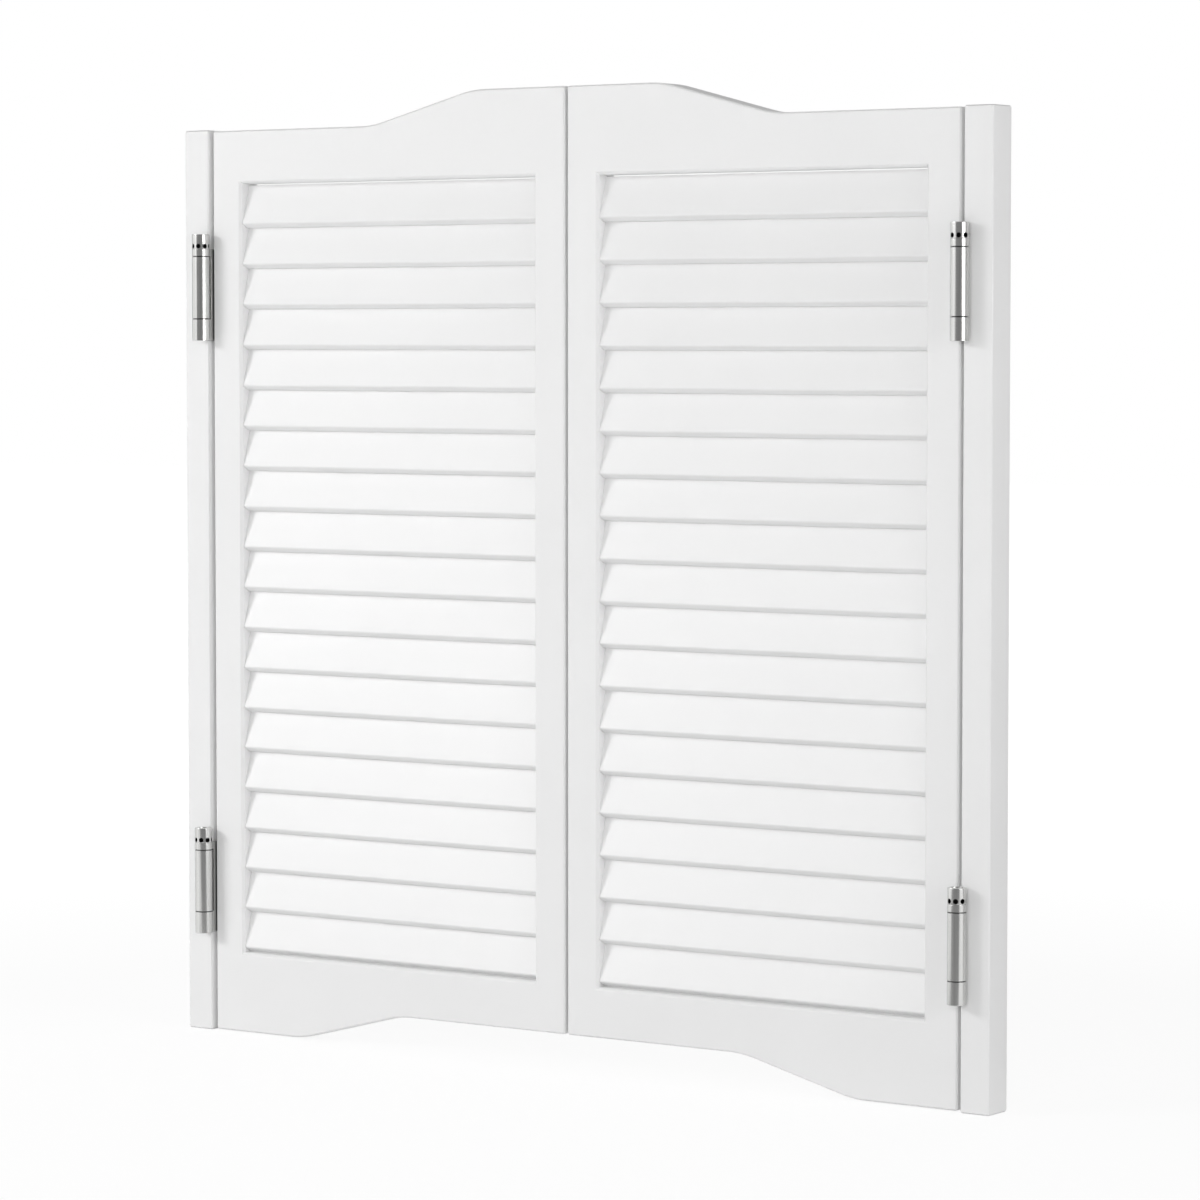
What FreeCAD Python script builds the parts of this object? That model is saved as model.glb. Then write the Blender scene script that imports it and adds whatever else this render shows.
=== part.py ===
import FreeCAD, Part
import math
import os
import re

import Sketcher
from FreeCAD import Vector

# Cafe swinging doors: two louvered leaves that meet in the middle of a passage.  Each leaf hangs
# from its jamb strip on two double-action spring hinges, so it swings to the front and to the back
# and closes by itself.
#
# Frame, in millimetres: x = 0 where the leaves meet, y = 0 at mid thickness, z = 0 under the jamb
# strips.  The front looks along -Y.  Angles are in degrees.

SIZES = {
    # Jamb strips, one at each end of X.
    "strip_height": 884.0,
    "strip_width": 30.0,
    "strip_depth": 32.0,
    "strip_edge": 1.6,                # chamfer of every edge
    # Leaves.  Each has one height all along and climbs by crown_rise to the meeting edge.
    "leaf_width": 421.5,
    "leaf_thickness": 28.0,
    "leaf_lift": 1.0,                 # hinge edge's foot above the strips' foot
    "leaf_drop": 1.0,                 # hinge edge's head below the strips' head
    "crown_rise": 31.0,
    # A leaf's far corner swings 1.7 mm past its meeting edge, so the gap lets it pass the other leaf.
    "meeting_gap": 3.0,
    "leaf_corner": 2.5,               # rounding of the outer corners, seen from the front
    "leaf_edge": 1.5,                 # chamfer of the outer edges
    "bevel": 2.5,                     # round the louver opening, on both faces
    # Frame members.
    "stile_width": 35.0,
    "top_rail_height": 51.5,          # at the hinge stile
    "bottom_rail_height": 78.5,       # at the hinge stile
    "ogee_radius": 115.0,
    "ogee_run": 149.0,
    "crown_ogee_centre": 166.0,       # from the meeting edge to the middle of the top curve
    "foot_ogee_centre": 168.0,        # from the hinge edge to the middle of the bottom curve
    "tenon_thickness": 9.0,
    "tenon_length": 22.0,
    "top_tenon_height": 30.0,
    "bottom_tenon_height": 26.0,
    "tenon_inset": 9.0,               # from the opening to the tenon
    "glue_gap": 0.1,                  # round a tenon
    "mortise_floor_gap": 0.6,         # past a tenon's end
    # Louvers: sloping blades, lower edge to the front, let into housings in both stiles.
    "louver_count": 19,
    "louver_length": 39.0,            # along the slope
    "louver_thickness": 8.3,
    "louver_slope": 16.0,             # from the vertical
    "nose_cut": 30.0,                 # fall of the nose below the horizontal
    "nose_recess": 2.6,               # behind the leaf's face
    "nose_edge": 1.0,                 # chamfer of the nose's upper edge
    "louver_foot_gap": 0.6,           # lowest nose above the bottom rail
    "louver_head_gap": 1.4,           # highest blade below the top rail
    "housing_depth": 6.0,
    "housing_gap": 0.15,              # round a blade's end
    "blade_end_gap": 0.3,             # between a blade's end and its housing's floor
    # Double-action spring hinges, two to a leaf.
    "hinge_gap": 4.0,                 # between leaf and strip
    "hinge_foot_inset": 97.5,         # lower hinge above the strip's foot
    "hinge_head_inset": 101.5,        # upper hinge below the strip's top
    "barrel_radius": 8.5,
    "barrel_wall": 1.5,
    "barrel_gap": 1.0,                # between a barrel and the strip's face
    "barrel_shift": 4.0,              # from the gap's middle to the barrels' axes, towards the strip
    "foot_knuckle": 21.0,
    "leaf_knuckle": 61.0,             # space between the web's two knuckles
    "ring_knuckle": 7.0,
    "cap_band": 5.5,
    "cap_head": 9.0,
    "plate_thickness": 1.5,
    "plate_reach": 11.0,              # leaf plate past mid thickness
    "plate_gap": 0.15,                # round a leaf plate in its recess
    "web_thickness": 1.8,
    "web_gap": 0.9,                   # between the web plate and a leaf's knuckle
    "knuckle_gap": 0.3,               # above and below a leaf's knuckle
    "fit_gap": 0.08,                  # radial, round the plug and the spigot
    "bearing_length": 5.0,            # of plug and spigot inside the leaf knuckle
    "spindle_radius": 3.0,
    "spindle_gap": 0.5,               # between the spindle's end and the spigot
    "spring_gap": 0.6,                # round a spring, inside and outside
    "cup_radius": 5.6,
    "cup_depth": 3.0,
    "boss_radius": 3.4,
    "boss_height": 2.4,
    "cap_hole_count": 8,
    "cap_hole_radius": 2.1,
    "cap_hole_floor": 4.6,            # from the barrel's axis to the end of a hole
    "tension_pin_radius": 1.95,
    "tension_pin_proud": 0.6,         # of the barrel
}

# Lengths that several pieces share, as expressions on the sizes.
HINGE_EDGE = "(meeting_gap / 2 + leaf_width)"
HINGE_INNER = "(meeting_gap / 2 + leaf_width - stile_width)"
MEETING_INNER = "(meeting_gap / 2 + stile_width)"
MEETING_EDGE = "(meeting_gap / 2)"
STRIP_INNER = "(meeting_gap / 2 + leaf_width + hinge_gap)"
STRIP_OUTER = "(meeting_gap / 2 + leaf_width + hinge_gap + strip_width)"
HINGE_CENTRE = "(meeting_gap / 2 + leaf_width + hinge_gap / 2)"
HINGE_FOOT = "leaf_lift"
MEETING_FOOT = "(leaf_lift + crown_rise)"
HINGE_HEAD = "(strip_height - leaf_drop)"
MEETING_HEAD = "(strip_height - leaf_drop + crown_rise)"
OPENING_FOOT = "(leaf_lift + bottom_rail_height)"
OPENING_HEAD = "(strip_height - leaf_drop - top_rail_height)"
FACE = "(leaf_thickness / 2)"

BARREL_OFFSET = "(strip_depth / 2 + barrel_gap + barrel_radius)"
BORE_RADIUS = "(barrel_radius - barrel_wall)"
PLUG_RADIUS = "(barrel_radius - barrel_wall - fit_gap)"
RING_FOOT = "(foot_knuckle + leaf_knuckle)"
PLATE_HEIGHT = "(foot_knuckle + leaf_knuckle + ring_knuckle)"
HINGE_HEIGHT = "(foot_knuckle + leaf_knuckle + ring_knuckle + cap_band + cap_head)"
PLUG_TOP = "(foot_knuckle + knuckle_gap + bearing_length)"
SPIGOT_FOOT = f"({RING_FOOT} - knuckle_gap - bearing_length)"
# How near to a barrel's axis, in y, the web plate may come without entering the bore.
WEB_END = f"sqrt({BORE_RADIUS} ^ 2 - (barrel_shift - web_thickness / 2) ^ 2)"
# The same for a door leaf's plate, which meets its knuckle at the flank.
FLANK_END = f"sqrt(max(0; {BORE_RADIUS} ^ 2 - (barrel_shift + hinge_gap / 2) ^ 2))"
HOLE_LEVEL = f"({PLATE_HEIGHT} + cap_band / 2)"
HINGE_SPACING = f"(strip_height - hinge_head_inset - {HINGE_HEIGHT} - hinge_foot_inset)"

# Hidden or very small round forms are drawn with this many sides, to keep the faces few.
SPRING_SIDES = 12
HOLE_SIDES = 8

LEFT, RIGHT = -1, 1
FRONT, BACK = -1, 1
SIDE_NAMES = {LEFT: "left", RIGHT: "right"}

doc = FreeCAD.newDocument("CafeDoors")
sheet = doc.addObject("Spreadsheet::Sheet", "Sizes")
for row, (alias, size) in enumerate(SIZES.items(), start=1):
    sheet.set(f"A{row}", alias.replace("_", " "))
    sheet.set(f"B{row}", str(size))
    sheet.setAlias(f"B{row}", alias)
doc.recompute()

subparts = []
cuts = []


# ---- helpers ---------------------------------------------------------------------------------

def bound(text):
    """The same expression with every alias turned into its cell."""
    return re.sub(r"[a-z_]+", lambda word: "Sizes." + word[0] if word[0] in SIZES else word[0], str(text))


def number(text):
    """What an expression on the sizes is worth now."""
    return float(sheet.evalExpression(bound(text)))


def bind(feature, **expressions):
    """Ties properties of a feature to expressions on the sizes."""
    for name, text in expressions.items():
        feature.setExpression(name.replace("__", "."), bound(text))


def new_body(label):
    """A body for one sub-part; its label names the sub-part's file."""
    body = doc.addObject("PartDesign::Body", label)
    body.Label = label
    body.AllowCompound = True
    subparts.append(body)
    return body


def datum(body, role):
    """One of the body's own origin planes or axes."""
    return next(item for item in body.Origin.OriginFeatures if item.Role == role)


def add(body, kind, name):
    """A new feature at the body's tip."""
    feature = body.newObject("PartDesign::" + kind, name)
    body.Tip = feature
    return feature


def new_sketch(body, plane, name, offset="0"):
    """A sketch on a plane of the body, moved along the plane's normal."""
    sketch = body.newObject("Sketcher::SketchObject", name)
    sketch.AttachmentSupport = [(datum(body, plane), "")]
    sketch.MapMode = "FlatFace"
    bind(sketch, AttachmentOffset__Base__z=offset)
    return sketch


def fix_point(sketch, item, end, place):
    """Dimensions one point of a sketch from the sketch's origin."""
    for kind, text in zip(("DistanceX", "DistanceY"), place):
        constraint = Sketcher.Constraint(kind, -1, 1, item, end, number(text))
        index = sketch.addConstraint(constraint)
        sketch.setExpression(f"Constraints[{index}]", bound(text))


def add_polygon(sketch, corners):
    """A closed outline of straight edges with dimensioned corners."""
    points = [Vector(number(x), number(y), 0) for x, y in corners]
    first = sketch.GeometryCount
    for index, point in enumerate(points):
        sketch.addGeometry(Part.LineSegment(point, points[(index + 1) % len(points)]))
    for index, corner in enumerate(corners):
        following = first + (index + 1) % len(points)
        sketch.addConstraint(Sketcher.Constraint("Coincident", first + index, 2, following, 1))
        fix_point(sketch, first + index, 1, corner)


def add_rectangle(sketch, low, high):
    """A rectangle between two corners."""
    add_polygon(sketch, [low, (high[0], low[1]), high, (low[0], high[1])])


def add_regular_polygon(sketch, centre, radius, sides):
    """A closed outline whose corners lie on a circle."""
    add_polygon(sketch, [
        (
            f"{centre[0]} + {radius} * cos({360 / sides * index})",
            f"{centre[1]} + {radius} * sin({360 / sides * index})",
        )
        for index in range(sides)
    ])


def add_circle(sketch, centre, radius):
    """A circle with a dimensioned centre and radius."""
    middle = Vector(number(centre[0]), number(centre[1]), 0)
    item = sketch.addGeometry(Part.Circle(middle, Vector(0, 0, 1), number(radius)))
    fix_point(sketch, item, 3, centre)
    index = sketch.addConstraint(Sketcher.Constraint("Radius", item, number(radius)))
    sketch.setExpression(f"Constraints[{index}]", bound(radius))


def pad(body, sketch, length, name, both_ways=False, reverse=False):
    """Adds the sketch's area, drawn out by a length."""
    feature = add(body, "Pad", name)
    feature.Profile = sketch
    feature.SideType = "Symmetric" if both_ways else "One side"
    feature.Reversed = reverse
    bind(feature, Length=length)
    return feature


def pocket(body, sketch, depth, name, toward_normal=False):
    """Cuts the sketch's area to a depth, against the sketch's normal or along it."""
    feature = add(body, "Pocket", name)
    feature.Profile = sketch
    feature.Reversed = toward_normal
    bind(feature, Length=depth)
    cuts.append(feature)
    return feature


def revolve(body, corners, name):
    """Turns a half section, given as radius and height, about the body's Z axis."""
    sketch = new_sketch(body, "XZ_Plane", name + "_section")
    add_polygon(sketch, corners)
    feature = add(body, "Revolution", name)
    feature.Profile = sketch
    feature.ReferenceAxis = (sketch, ["V_Axis"])
    feature.Angle = 360
    return feature


def pattern_up(body, count, length, name, originals=None):
    """Repeats features, or the whole body, up the Z axis over a length."""
    doc.recompute()
    feature = add(body, "LinearPattern", name)
    if originals:
        feature.Originals = originals
    else:
        feature.TransformMode = "Whole shape"
    feature.Direction = (datum(body, "Z_Axis"), [""])
    bind(feature, Length=length, Occurrences=count)
    return feature


def ease_edges(body, kind, width, wanted, name):
    """Fillets or chamfers the edges of the body's tip whose middle and direction the test wants."""
    doc.recompute()
    base = body.Tip
    chosen = []
    for index, edge in enumerate(base.Shape.Edges, start=1):
        middle = edge.valueAt((edge.FirstParameter + edge.LastParameter) / 2)
        along = edge.lastVertex().Point - edge.firstVertex().Point
        if wanted(middle, along):
            chosen.append(f"Edge{index}")
    feature = add(body, kind, name)
    feature.Base = (base, chosen)
    bind(feature, **{"Radius" if kind == "Fillet" else "Size": width})
    return feature


def near(value, text):
    """Whether a coordinate lies where an expression says."""
    return abs(value - number(text)) < 0.01


def span(side, inner, outer):
    """Low and high x of a stretch between two distances from x = 0, on one side."""
    if side == LEFT:
        return f"-{outer}", f"-{inner}"
    return inner, outer


# ---- leaf frames -------------------------------------------------------------------------------

def cut_bevels(body, side):
    """The bevel round the louver opening: a frustum is cut from the front and one from the back."""
    low, high = span(side, MEETING_INNER, HINGE_INNER)
    # A wedge's face at Ymin has the plain properties, and the one at Ymax those with a 2.
    frustums = (("front_bevel", f"-{FACE}", "", "2"), ("back_bevel", f"{FACE} - bevel", "2", ""))
    for name, start, wide, narrow in frustums:
        feature = add(body, "SubtractiveWedge", name)
        bind(feature, Ymin=start, Ymax=f"{start} + bevel")
        bind(feature, **{f"X{narrow}min": low, f"X{narrow}max": high})
        bind(feature, **{f"Z{narrow}min": OPENING_FOOT, f"Z{narrow}max": OPENING_HEAD})
        bind(feature, **{f"X{wide}min": f"{low} - bevel", f"X{wide}max": f"{high} + bevel"})
        bind(feature, **{f"Z{wide}min": f"{OPENING_FOOT} - bevel", f"Z{wide}max": f"{OPENING_HEAD} + bevel"})
        cuts.append(feature)


def louver_corners(offset):
    """The blade's section in y and z: a parallelogram, grown by an offset on every side."""
    corner_angle = "(90 - louver_slope + nose_cut)"
    cut_length = f"(louver_thickness / sin{corner_angle})"
    reach = f"({offset} / sin{corner_angle})"
    lowest = f"({OPENING_FOOT} + louver_foot_gap + {cut_length} * sin(nose_cut))"
    tip = (
        f"(-{FACE} + nose_recess - {reach} * (sin(louver_slope) + cos(nose_cut)))",
        f"({lowest} - {reach} * (cos(louver_slope) - sin(nose_cut)))",
    )
    rise = (
        f"(louver_length + 2 * {reach}) * sin(louver_slope)",
        f"(louver_length + 2 * {reach}) * cos(louver_slope)",
    )
    cut = (
        f"({cut_length} + 2 * {reach}) * cos(nose_cut)",
        f"({cut_length} + 2 * {reach}) * sin(nose_cut)",
    )
    return [
        tip,
        (f"{tip[0]} + {cut[0]}", f"{tip[1]} - {cut[1]}"),
        (f"{tip[0]} + {cut[0]} + {rise[0]}", f"{tip[1]} - {cut[1]} + {rise[1]}"),
        (f"{tip[0]} + {rise[0]}", f"{tip[1]} + {rise[1]}"),
    ]


def louver_travel():
    """Height between the lowest blade and the highest."""
    cut_fall = "(louver_thickness / sin(90 - louver_slope + nose_cut) * sin(nose_cut))"
    blade = f"({cut_fall} + louver_length * cos(louver_slope))"
    return f"({OPENING_HEAD} - {OPENING_FOOT} - louver_foot_gap - louver_head_gap - {blade})"


def tenon_heights():
    """Low and high z of the bottom and the top rail's tenons."""
    return (
        (f"({OPENING_FOOT} - tenon_inset - bottom_tenon_height)", f"({OPENING_FOOT} - tenon_inset)"),
        (f"({OPENING_HEAD} + tenon_inset)", f"({OPENING_HEAD} + tenon_inset + top_tenon_height)"),
    )


def make_stile(side, at_hinge):
    """An upright of the leaf's frame, with mortises for the rails and housings for the blades."""
    body = new_body(f"{SIDE_NAMES[side]}_{'hinge' if at_hinge else 'meeting'}_stile")
    if at_hinge:
        inner, outer, foot, head = HINGE_INNER, HINGE_EDGE, HINGE_FOOT, HINGE_HEAD
    else:
        inner, outer, foot, head = MEETING_INNER, MEETING_EDGE, MEETING_FOOT, MEETING_HEAD
    inner, outer = f"({side} * {inner})", f"({side} * {outer})"
    board = new_sketch(body, "XZ_Plane", "board_outline")
    add_rectangle(board, (outer, foot), (inner, head))
    pad(body, board, "leaf_thickness", "board", both_ways=True)
    ease_edges(
        body, "Fillet", "leaf_corner",
        lambda middle, along: near(middle.x, outer) and abs(along.y) > 1,
        "outer_corners",
    )
    ease_edges(
        body, "Chamfer", "leaf_edge",
        lambda middle, along: near(abs(middle.y), FACE) and not near(middle.x, inner),
        "outer_edges",
    )
    cut_bevels(body, side)
    # The cuts go into the stile from its inner face.
    into_plus_x = number(outer) > number(inner)
    mortises = new_sketch(body, "YZ_Plane", "mortise_outlines", inner)
    half = "(tenon_thickness / 2 + glue_gap)"
    for low, high in tenon_heights():
        add_rectangle(mortises, (f"-{half}", f"{low} - glue_gap"), (half, f"{high} + glue_gap"))
    pocket(body, mortises, "tenon_length + mortise_floor_gap", "mortises", into_plus_x)
    housing = new_sketch(body, "YZ_Plane", "housing_outline", inner)
    add_polygon(housing, louver_corners("housing_gap"))
    first = pocket(body, housing, "housing_depth", "lowest_housing", into_plus_x)
    pattern_up(body, "louver_count", louver_travel(), "housings", [first])
    if at_hinge:
        cut_plate_recess(body, side, "door", outer)
    return body


def add_rail_outline(sketch, side, level, hinge_end, meeting_end, centre):
    """A rail: straight along the opening, an ogee between two level stretches along the outside."""
    across = 1 if number(meeting_end[0]) > number(hinge_end[0]) else -1
    radius, run, rise = number("ogee_radius"), number("ogee_run"), number("crown_rise")
    slant = math.atan2(rise - 2 * radius, run)
    slant += math.asin(2 * radius / math.hypot(run, 2 * radius - rise))
    low_start = f"({centre} - {across} * ogee_run / 2)"
    high_end = f"({centre} + {across} * ogee_run / 2)"
    start = Vector(number(low_start), number(hinge_end[1]), 0)
    stop = Vector(number(high_end), number(meeting_end[1]), 0)
    step = Vector(across * radius * math.sin(slant), radius * (1 - math.cos(slant)), 0)
    bend = Vector(across * radius * math.sin(slant / 2), radius * (1 - math.cos(slant / 2)), 0)
    hinge_corner = Vector(number(hinge_end[0]), number(hinge_end[1]), 0)
    meeting_corner = Vector(number(meeting_end[0]), number(meeting_end[1]), 0)
    hinge_inside = Vector(hinge_corner.x, number(level), 0)
    meeting_inside = Vector(meeting_corner.x, number(level), 0)
    pieces = [
        Part.LineSegment(hinge_corner, start),
        Part.Arc(start, start + bend, start + step),
        Part.LineSegment(start + step, stop - step),
        Part.Arc(stop - step, stop - bend, stop),
        Part.LineSegment(stop, meeting_corner),
        Part.LineSegment(meeting_corner, meeting_inside),
        Part.LineSegment(meeting_inside, hinge_inside),
        Part.LineSegment(hinge_inside, hinge_corner),
    ]
    for piece in pieces:
        sketch.addGeometry(piece)
    # Part.Arc always runs counter-clockwise, so an arc's two ends depend on the side.
    low_arc = (1, 2) if across > 0 else (2, 1)
    high_arc = (2, 1) if across > 0 else (1, 2)
    joints = (
        ("Tangent", 0, 2, 1, low_arc[0]),
        ("Tangent", 1, low_arc[1], 2, 1),
        ("Tangent", 2, 2, 3, high_arc[0]),
        ("Tangent", 3, high_arc[1], 4, 1),
        ("Coincident", 4, 2, 5, 1),
        ("Coincident", 5, 2, 6, 1),
        ("Coincident", 6, 2, 7, 1),
        ("Coincident", 7, 2, 0, 1),
    )
    for joint in joints:
        sketch.addConstraint(Sketcher.Constraint(*joint))
    for item in (0, 4, 6):
        sketch.addConstraint(Sketcher.Constraint("Horizontal", item))
    for item in (5, 7):
        sketch.addConstraint(Sketcher.Constraint("Vertical", item))
    fix_point(sketch, 0, 1, hinge_end)
    fix_point(sketch, 5, 1, meeting_end)
    for item, end, text in ((0, 2, low_start), (4, 1, high_end)):
        index = sketch.addConstraint(Sketcher.Constraint("DistanceX", -1, 1, item, end, number(text)))
        sketch.setExpression(f"Constraints[{index}]", bound(text))
    index = sketch.addConstraint(Sketcher.Constraint("DistanceY", -1, 1, 6, 1, number(level)))
    sketch.setExpression(f"Constraints[{index}]", bound(level))
    index = sketch.addConstraint(Sketcher.Constraint("Radius", 1, radius))
    sketch.setExpression(f"Constraints[{index}]", bound("ogee_radius"))
    sketch.addConstraint(Sketcher.Constraint("Equal", 1, 3))


def make_rail(side, at_top):
    """A rail of the leaf's frame, with a tenon at each end and an ogee along its outer edge."""
    body = new_body(f"{SIDE_NAMES[side]}_{'top' if at_top else 'bottom'}_rail")
    hinge_x, meeting_x = f"({side} * {HINGE_INNER})", f"({side} * {MEETING_INNER})"
    if at_top:
        level, hinge_z, meeting_z = OPENING_HEAD, HINGE_HEAD, MEETING_HEAD
        centre = f"({side} * ({MEETING_EDGE} + crown_ogee_centre))"
    else:
        level, hinge_z, meeting_z = OPENING_FOOT, HINGE_FOOT, MEETING_FOOT
        centre = f"({side} * ({HINGE_EDGE} - foot_ogee_centre))"
    outline = new_sketch(body, "XZ_Plane", "rail_outline")
    add_rail_outline(outline, side, level, (hinge_x, hinge_z), (meeting_x, meeting_z), centre)
    pad(body, outline, "leaf_thickness", "board", both_ways=True)
    ease_edges(
        body, "Chamfer", "leaf_edge",
        lambda middle, along: near(abs(middle.y), FACE) and abs(along.x) > 1 and not near(middle.z, level),
        "outer_edges",
    )
    cut_bevels(body, side)
    low, high = tenon_heights()[1 if at_top else 0]
    ends = f"{hinge_x} + {side} * tenon_length", f"{meeting_x} - {side} * tenon_length"
    tenons = new_sketch(body, "XZ_Plane", "tenon_outline")
    add_rectangle(tenons, (ends[0], low), (ends[1], high))
    pad(body, tenons, "tenon_thickness", "tenons", both_ways=True)
    return body


def make_louvers(side):
    """The blades of one leaf, all in one sub-part."""
    body = new_body(f"{SIDE_NAMES[side]}_louvers")
    middle = f"({side} * ({HINGE_INNER} + {MEETING_INNER}) / 2)"
    section = new_sketch(body, "YZ_Plane", "blade_section", middle)
    corners = louver_corners("0")
    add_polygon(section, corners)
    length = f"{HINGE_INNER} - {MEETING_INNER} + 2 * (housing_depth - blade_end_gap)"
    pad(body, section, length, "blade", both_ways=True)
    ease_edges(
        body, "Chamfer", "nose_edge",
        lambda middle, along: near(middle.y, corners[0][0]) and abs(along.x) > 1,
        "nose",
    )
    pattern_up(body, "louver_count", louver_travel(), "blades")
    return body


# ---- jamb strips -------------------------------------------------------------------------------

def cut_plate_recess(body, side, barrel, face):
    """Recesses for the two leaf plates in a wooden edge, open towards their barrels."""
    into_wood = 1 if barrel == "jamb" else -1
    into_plus_x = into_wood * side > 0
    outline = new_sketch(body, "YZ_Plane", "plate_outline", face)
    place = barrel_place(side, barrel)
    barrel_edge = f"{place} * strip_depth"
    far_edge = f"{-place} * (plate_reach + plate_gap)"
    low = "hinge_foot_inset - plate_gap"
    add_rectangle(outline, (barrel_edge, low), (far_edge, f"{low} + {PLATE_HEIGHT} + 2 * plate_gap"))
    recess = pocket(body, outline, "plate_thickness", "lower_recess", into_plus_x)
    pattern_up(body, 2, HINGE_SPACING, "recesses", [recess])


def make_strip(side):
    """The upright strip that is fixed to the wall and carries both hinges of one leaf."""
    body = new_body(f"{SIDE_NAMES[side]}_jamb_strip")
    face = f"({side} * {STRIP_INNER})"
    outline = new_sketch(body, "XY_Plane", "strip_outline")
    add_rectangle(outline, (face, "-strip_depth / 2"), (f"({side} * {STRIP_OUTER})", "strip_depth / 2"))
    pad(body, outline, "strip_height", "strip")
    ease_edges(body, "Chamfer", "strip_edge", lambda middle, along: True, "edges")
    cut_plate_recess(body, side, "jamb", face)
    return body


# ---- spring hinges -----------------------------------------------------------------------------
# A hinge has a jamb barrel on one face of the doors and a door barrel on the other, both a little
# over the strip.  The jamb leaf turns on the jamb barrel, the door leaf on the door barrel, and the
# web joins both.  The right hinges are the left ones turned round, their jamb barrels behind.

def barrel_place(side, barrel):
    """Whether a barrel stands in front of the doors or behind them."""
    return FRONT if (side == LEFT) == (barrel == "jamb") else BACK


def barrel_axis(side, barrel):
    """Where a barrel's axis stands, in x and y from the middle of the gap."""
    return f"{side} * barrel_shift", f"{barrel_place(side, barrel)} * {BARREL_OFFSET}"


def stand_at_hinge(body, side, start=("0", "0")):
    """Stands a hinge piece at the lower hinge of one side and repeats it at the upper one."""
    pattern_up(body, 2, HINGE_SPACING, "upper_and_lower")
    bind(
        body,
        Placement__Base__x=f"{side} * {HINGE_CENTRE} + {start[0]}",
        Placement__Base__y=start[1],
        Placement__Base__z="hinge_foot_inset",
    )
    return body


def make_hinge_leaves(side, barrel):
    """Leaf plates with their knuckles, upper and lower, in the strip's edge or in the leaf's."""
    body = new_body(f"{SIDE_NAMES[side]}_{barrel}_leaves")
    foot, top = "(foot_knuckle + knuckle_gap)", f"({RING_FOOT} - knuckle_gap)"
    axis = barrel_axis(side, barrel)
    tube = new_sketch(body, "XY_Plane", "knuckle_section", foot)
    add_circle(tube, axis, "barrel_radius")
    add_circle(tube, axis, BORE_RADIUS)
    pad(body, tube, f"{top} - {foot}", "knuckle")
    place = barrel_place(side, barrel)
    wood, neck_end = (side, BORE_RADIUS) if barrel == "jamb" else (-side, FLANK_END)
    neck = f"{place} * ({BARREL_OFFSET} - {neck_end})"
    shoulder, end = f"{place} * {FACE}", f"{-place} * plate_reach"
    plate = new_sketch(body, "YZ_Plane", "plate_outline", f"{wood} * hinge_gap / 2")
    add_polygon(plate, [
        (neck, foot), (shoulder, foot), (shoulder, "0"), (end, "0"),
        (end, PLATE_HEIGHT), (shoulder, PLATE_HEIGHT), (shoulder, top), (neck, top),
    ])
    pad(body, plate, "plate_thickness", "plate", reverse=wood == LEFT)
    return stand_at_hinge(body, side)


def make_webs(side):
    """The webs, upper and lower: a plate in the gap, with a foot and a ring on each barrel."""
    body = new_body(f"{SIDE_NAMES[side]}_webs")
    feet = new_sketch(body, "XY_Plane", "foot_section")
    rings = new_sketch(body, "XY_Plane", "ring_section", RING_FOOT)
    for axis in (barrel_axis(side, "jamb"), barrel_axis(side, "door")):
        add_circle(feet, axis, "barrel_radius")
        add_circle(rings, axis, "barrel_radius")
        add_circle(rings, axis, BORE_RADIUS)
    pad(body, feet, "foot_knuckle", "foot_knuckles")
    pad(body, rings, "ring_knuckle", "ring_knuckles")
    wide = f"({BARREL_OFFSET} - {WEB_END})"
    narrow = f"({BARREL_OFFSET} - barrel_radius - web_gap)"
    plate = new_sketch(body, "YZ_Plane", "plate_outline")
    add_polygon(plate, [
        (f"-{wide}", "0"), (wide, "0"), (wide, "foot_knuckle"), (narrow, "foot_knuckle"),
        (narrow, RING_FOOT), (wide, RING_FOOT), (wide, PLATE_HEIGHT), (f"-{wide}", PLATE_HEIGHT),
        (f"-{wide}", RING_FOOT), (f"-{narrow}", RING_FOOT),
        (f"-{narrow}", "foot_knuckle"), (f"-{wide}", "foot_knuckle"),
    ])
    pad(body, plate, "web_thickness", "plate", both_ways=True)
    return stand_at_hinge(body, side)


def make_caps(side, barrel):
    """Tension caps, upper and lower: they wind the springs, and a pin in one hole holds them."""
    body = new_body(f"{SIDE_NAMES[side]}_{barrel}_tension_caps")
    floor = f"({HINGE_HEIGHT} - cup_depth)"
    revolve(body, [
        ("0", SPIGOT_FOOT), (PLUG_RADIUS, SPIGOT_FOOT), (PLUG_RADIUS, PLATE_HEIGHT),
        ("barrel_radius", PLATE_HEIGHT), ("barrel_radius", HINGE_HEIGHT),
        ("cup_radius", HINGE_HEIGHT), ("cup_radius", floor), ("0", floor),
    ], "cap")
    boss = new_sketch(body, "XY_Plane", "boss_section", floor)
    add_regular_polygon(boss, ("0", "0"), "boss_radius", 6)
    pad(body, boss, "boss_height", "boss")
    outline = new_sketch(body, "XZ_Plane", "hole_outline", "cap_hole_floor")
    add_regular_polygon(outline, ("0", HOLE_LEVEL), "cap_hole_radius", HOLE_SIDES)
    hole = pocket(body, outline, "barrel_radius", "front_hole", toward_normal=True)
    holes = add(body, "PolarPattern", "tension_holes")
    holes.Originals = [hole]
    holes.Axis = (datum(body, "Z_Axis"), [""])
    holes.Angle = 360
    bind(holes, Occurrences="cap_hole_count")
    return stand_at_hinge(body, side, barrel_axis(side, barrel))


def make_spindles(side, barrel):
    """Spindles, upper and lower: a plug on the web's foot that centres the leaf knuckle, and a shaft."""
    body = new_body(f"{SIDE_NAMES[side]}_{barrel}_spindles")
    top = f"({SPIGOT_FOOT} - spindle_gap)"
    revolve(body, [
        ("0", "foot_knuckle"), (PLUG_RADIUS, "foot_knuckle"), (PLUG_RADIUS, PLUG_TOP),
        ("spindle_radius", PLUG_TOP), ("spindle_radius", top), ("0", top),
    ], "spindle")
    return stand_at_hinge(body, side, barrel_axis(side, barrel))


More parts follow.
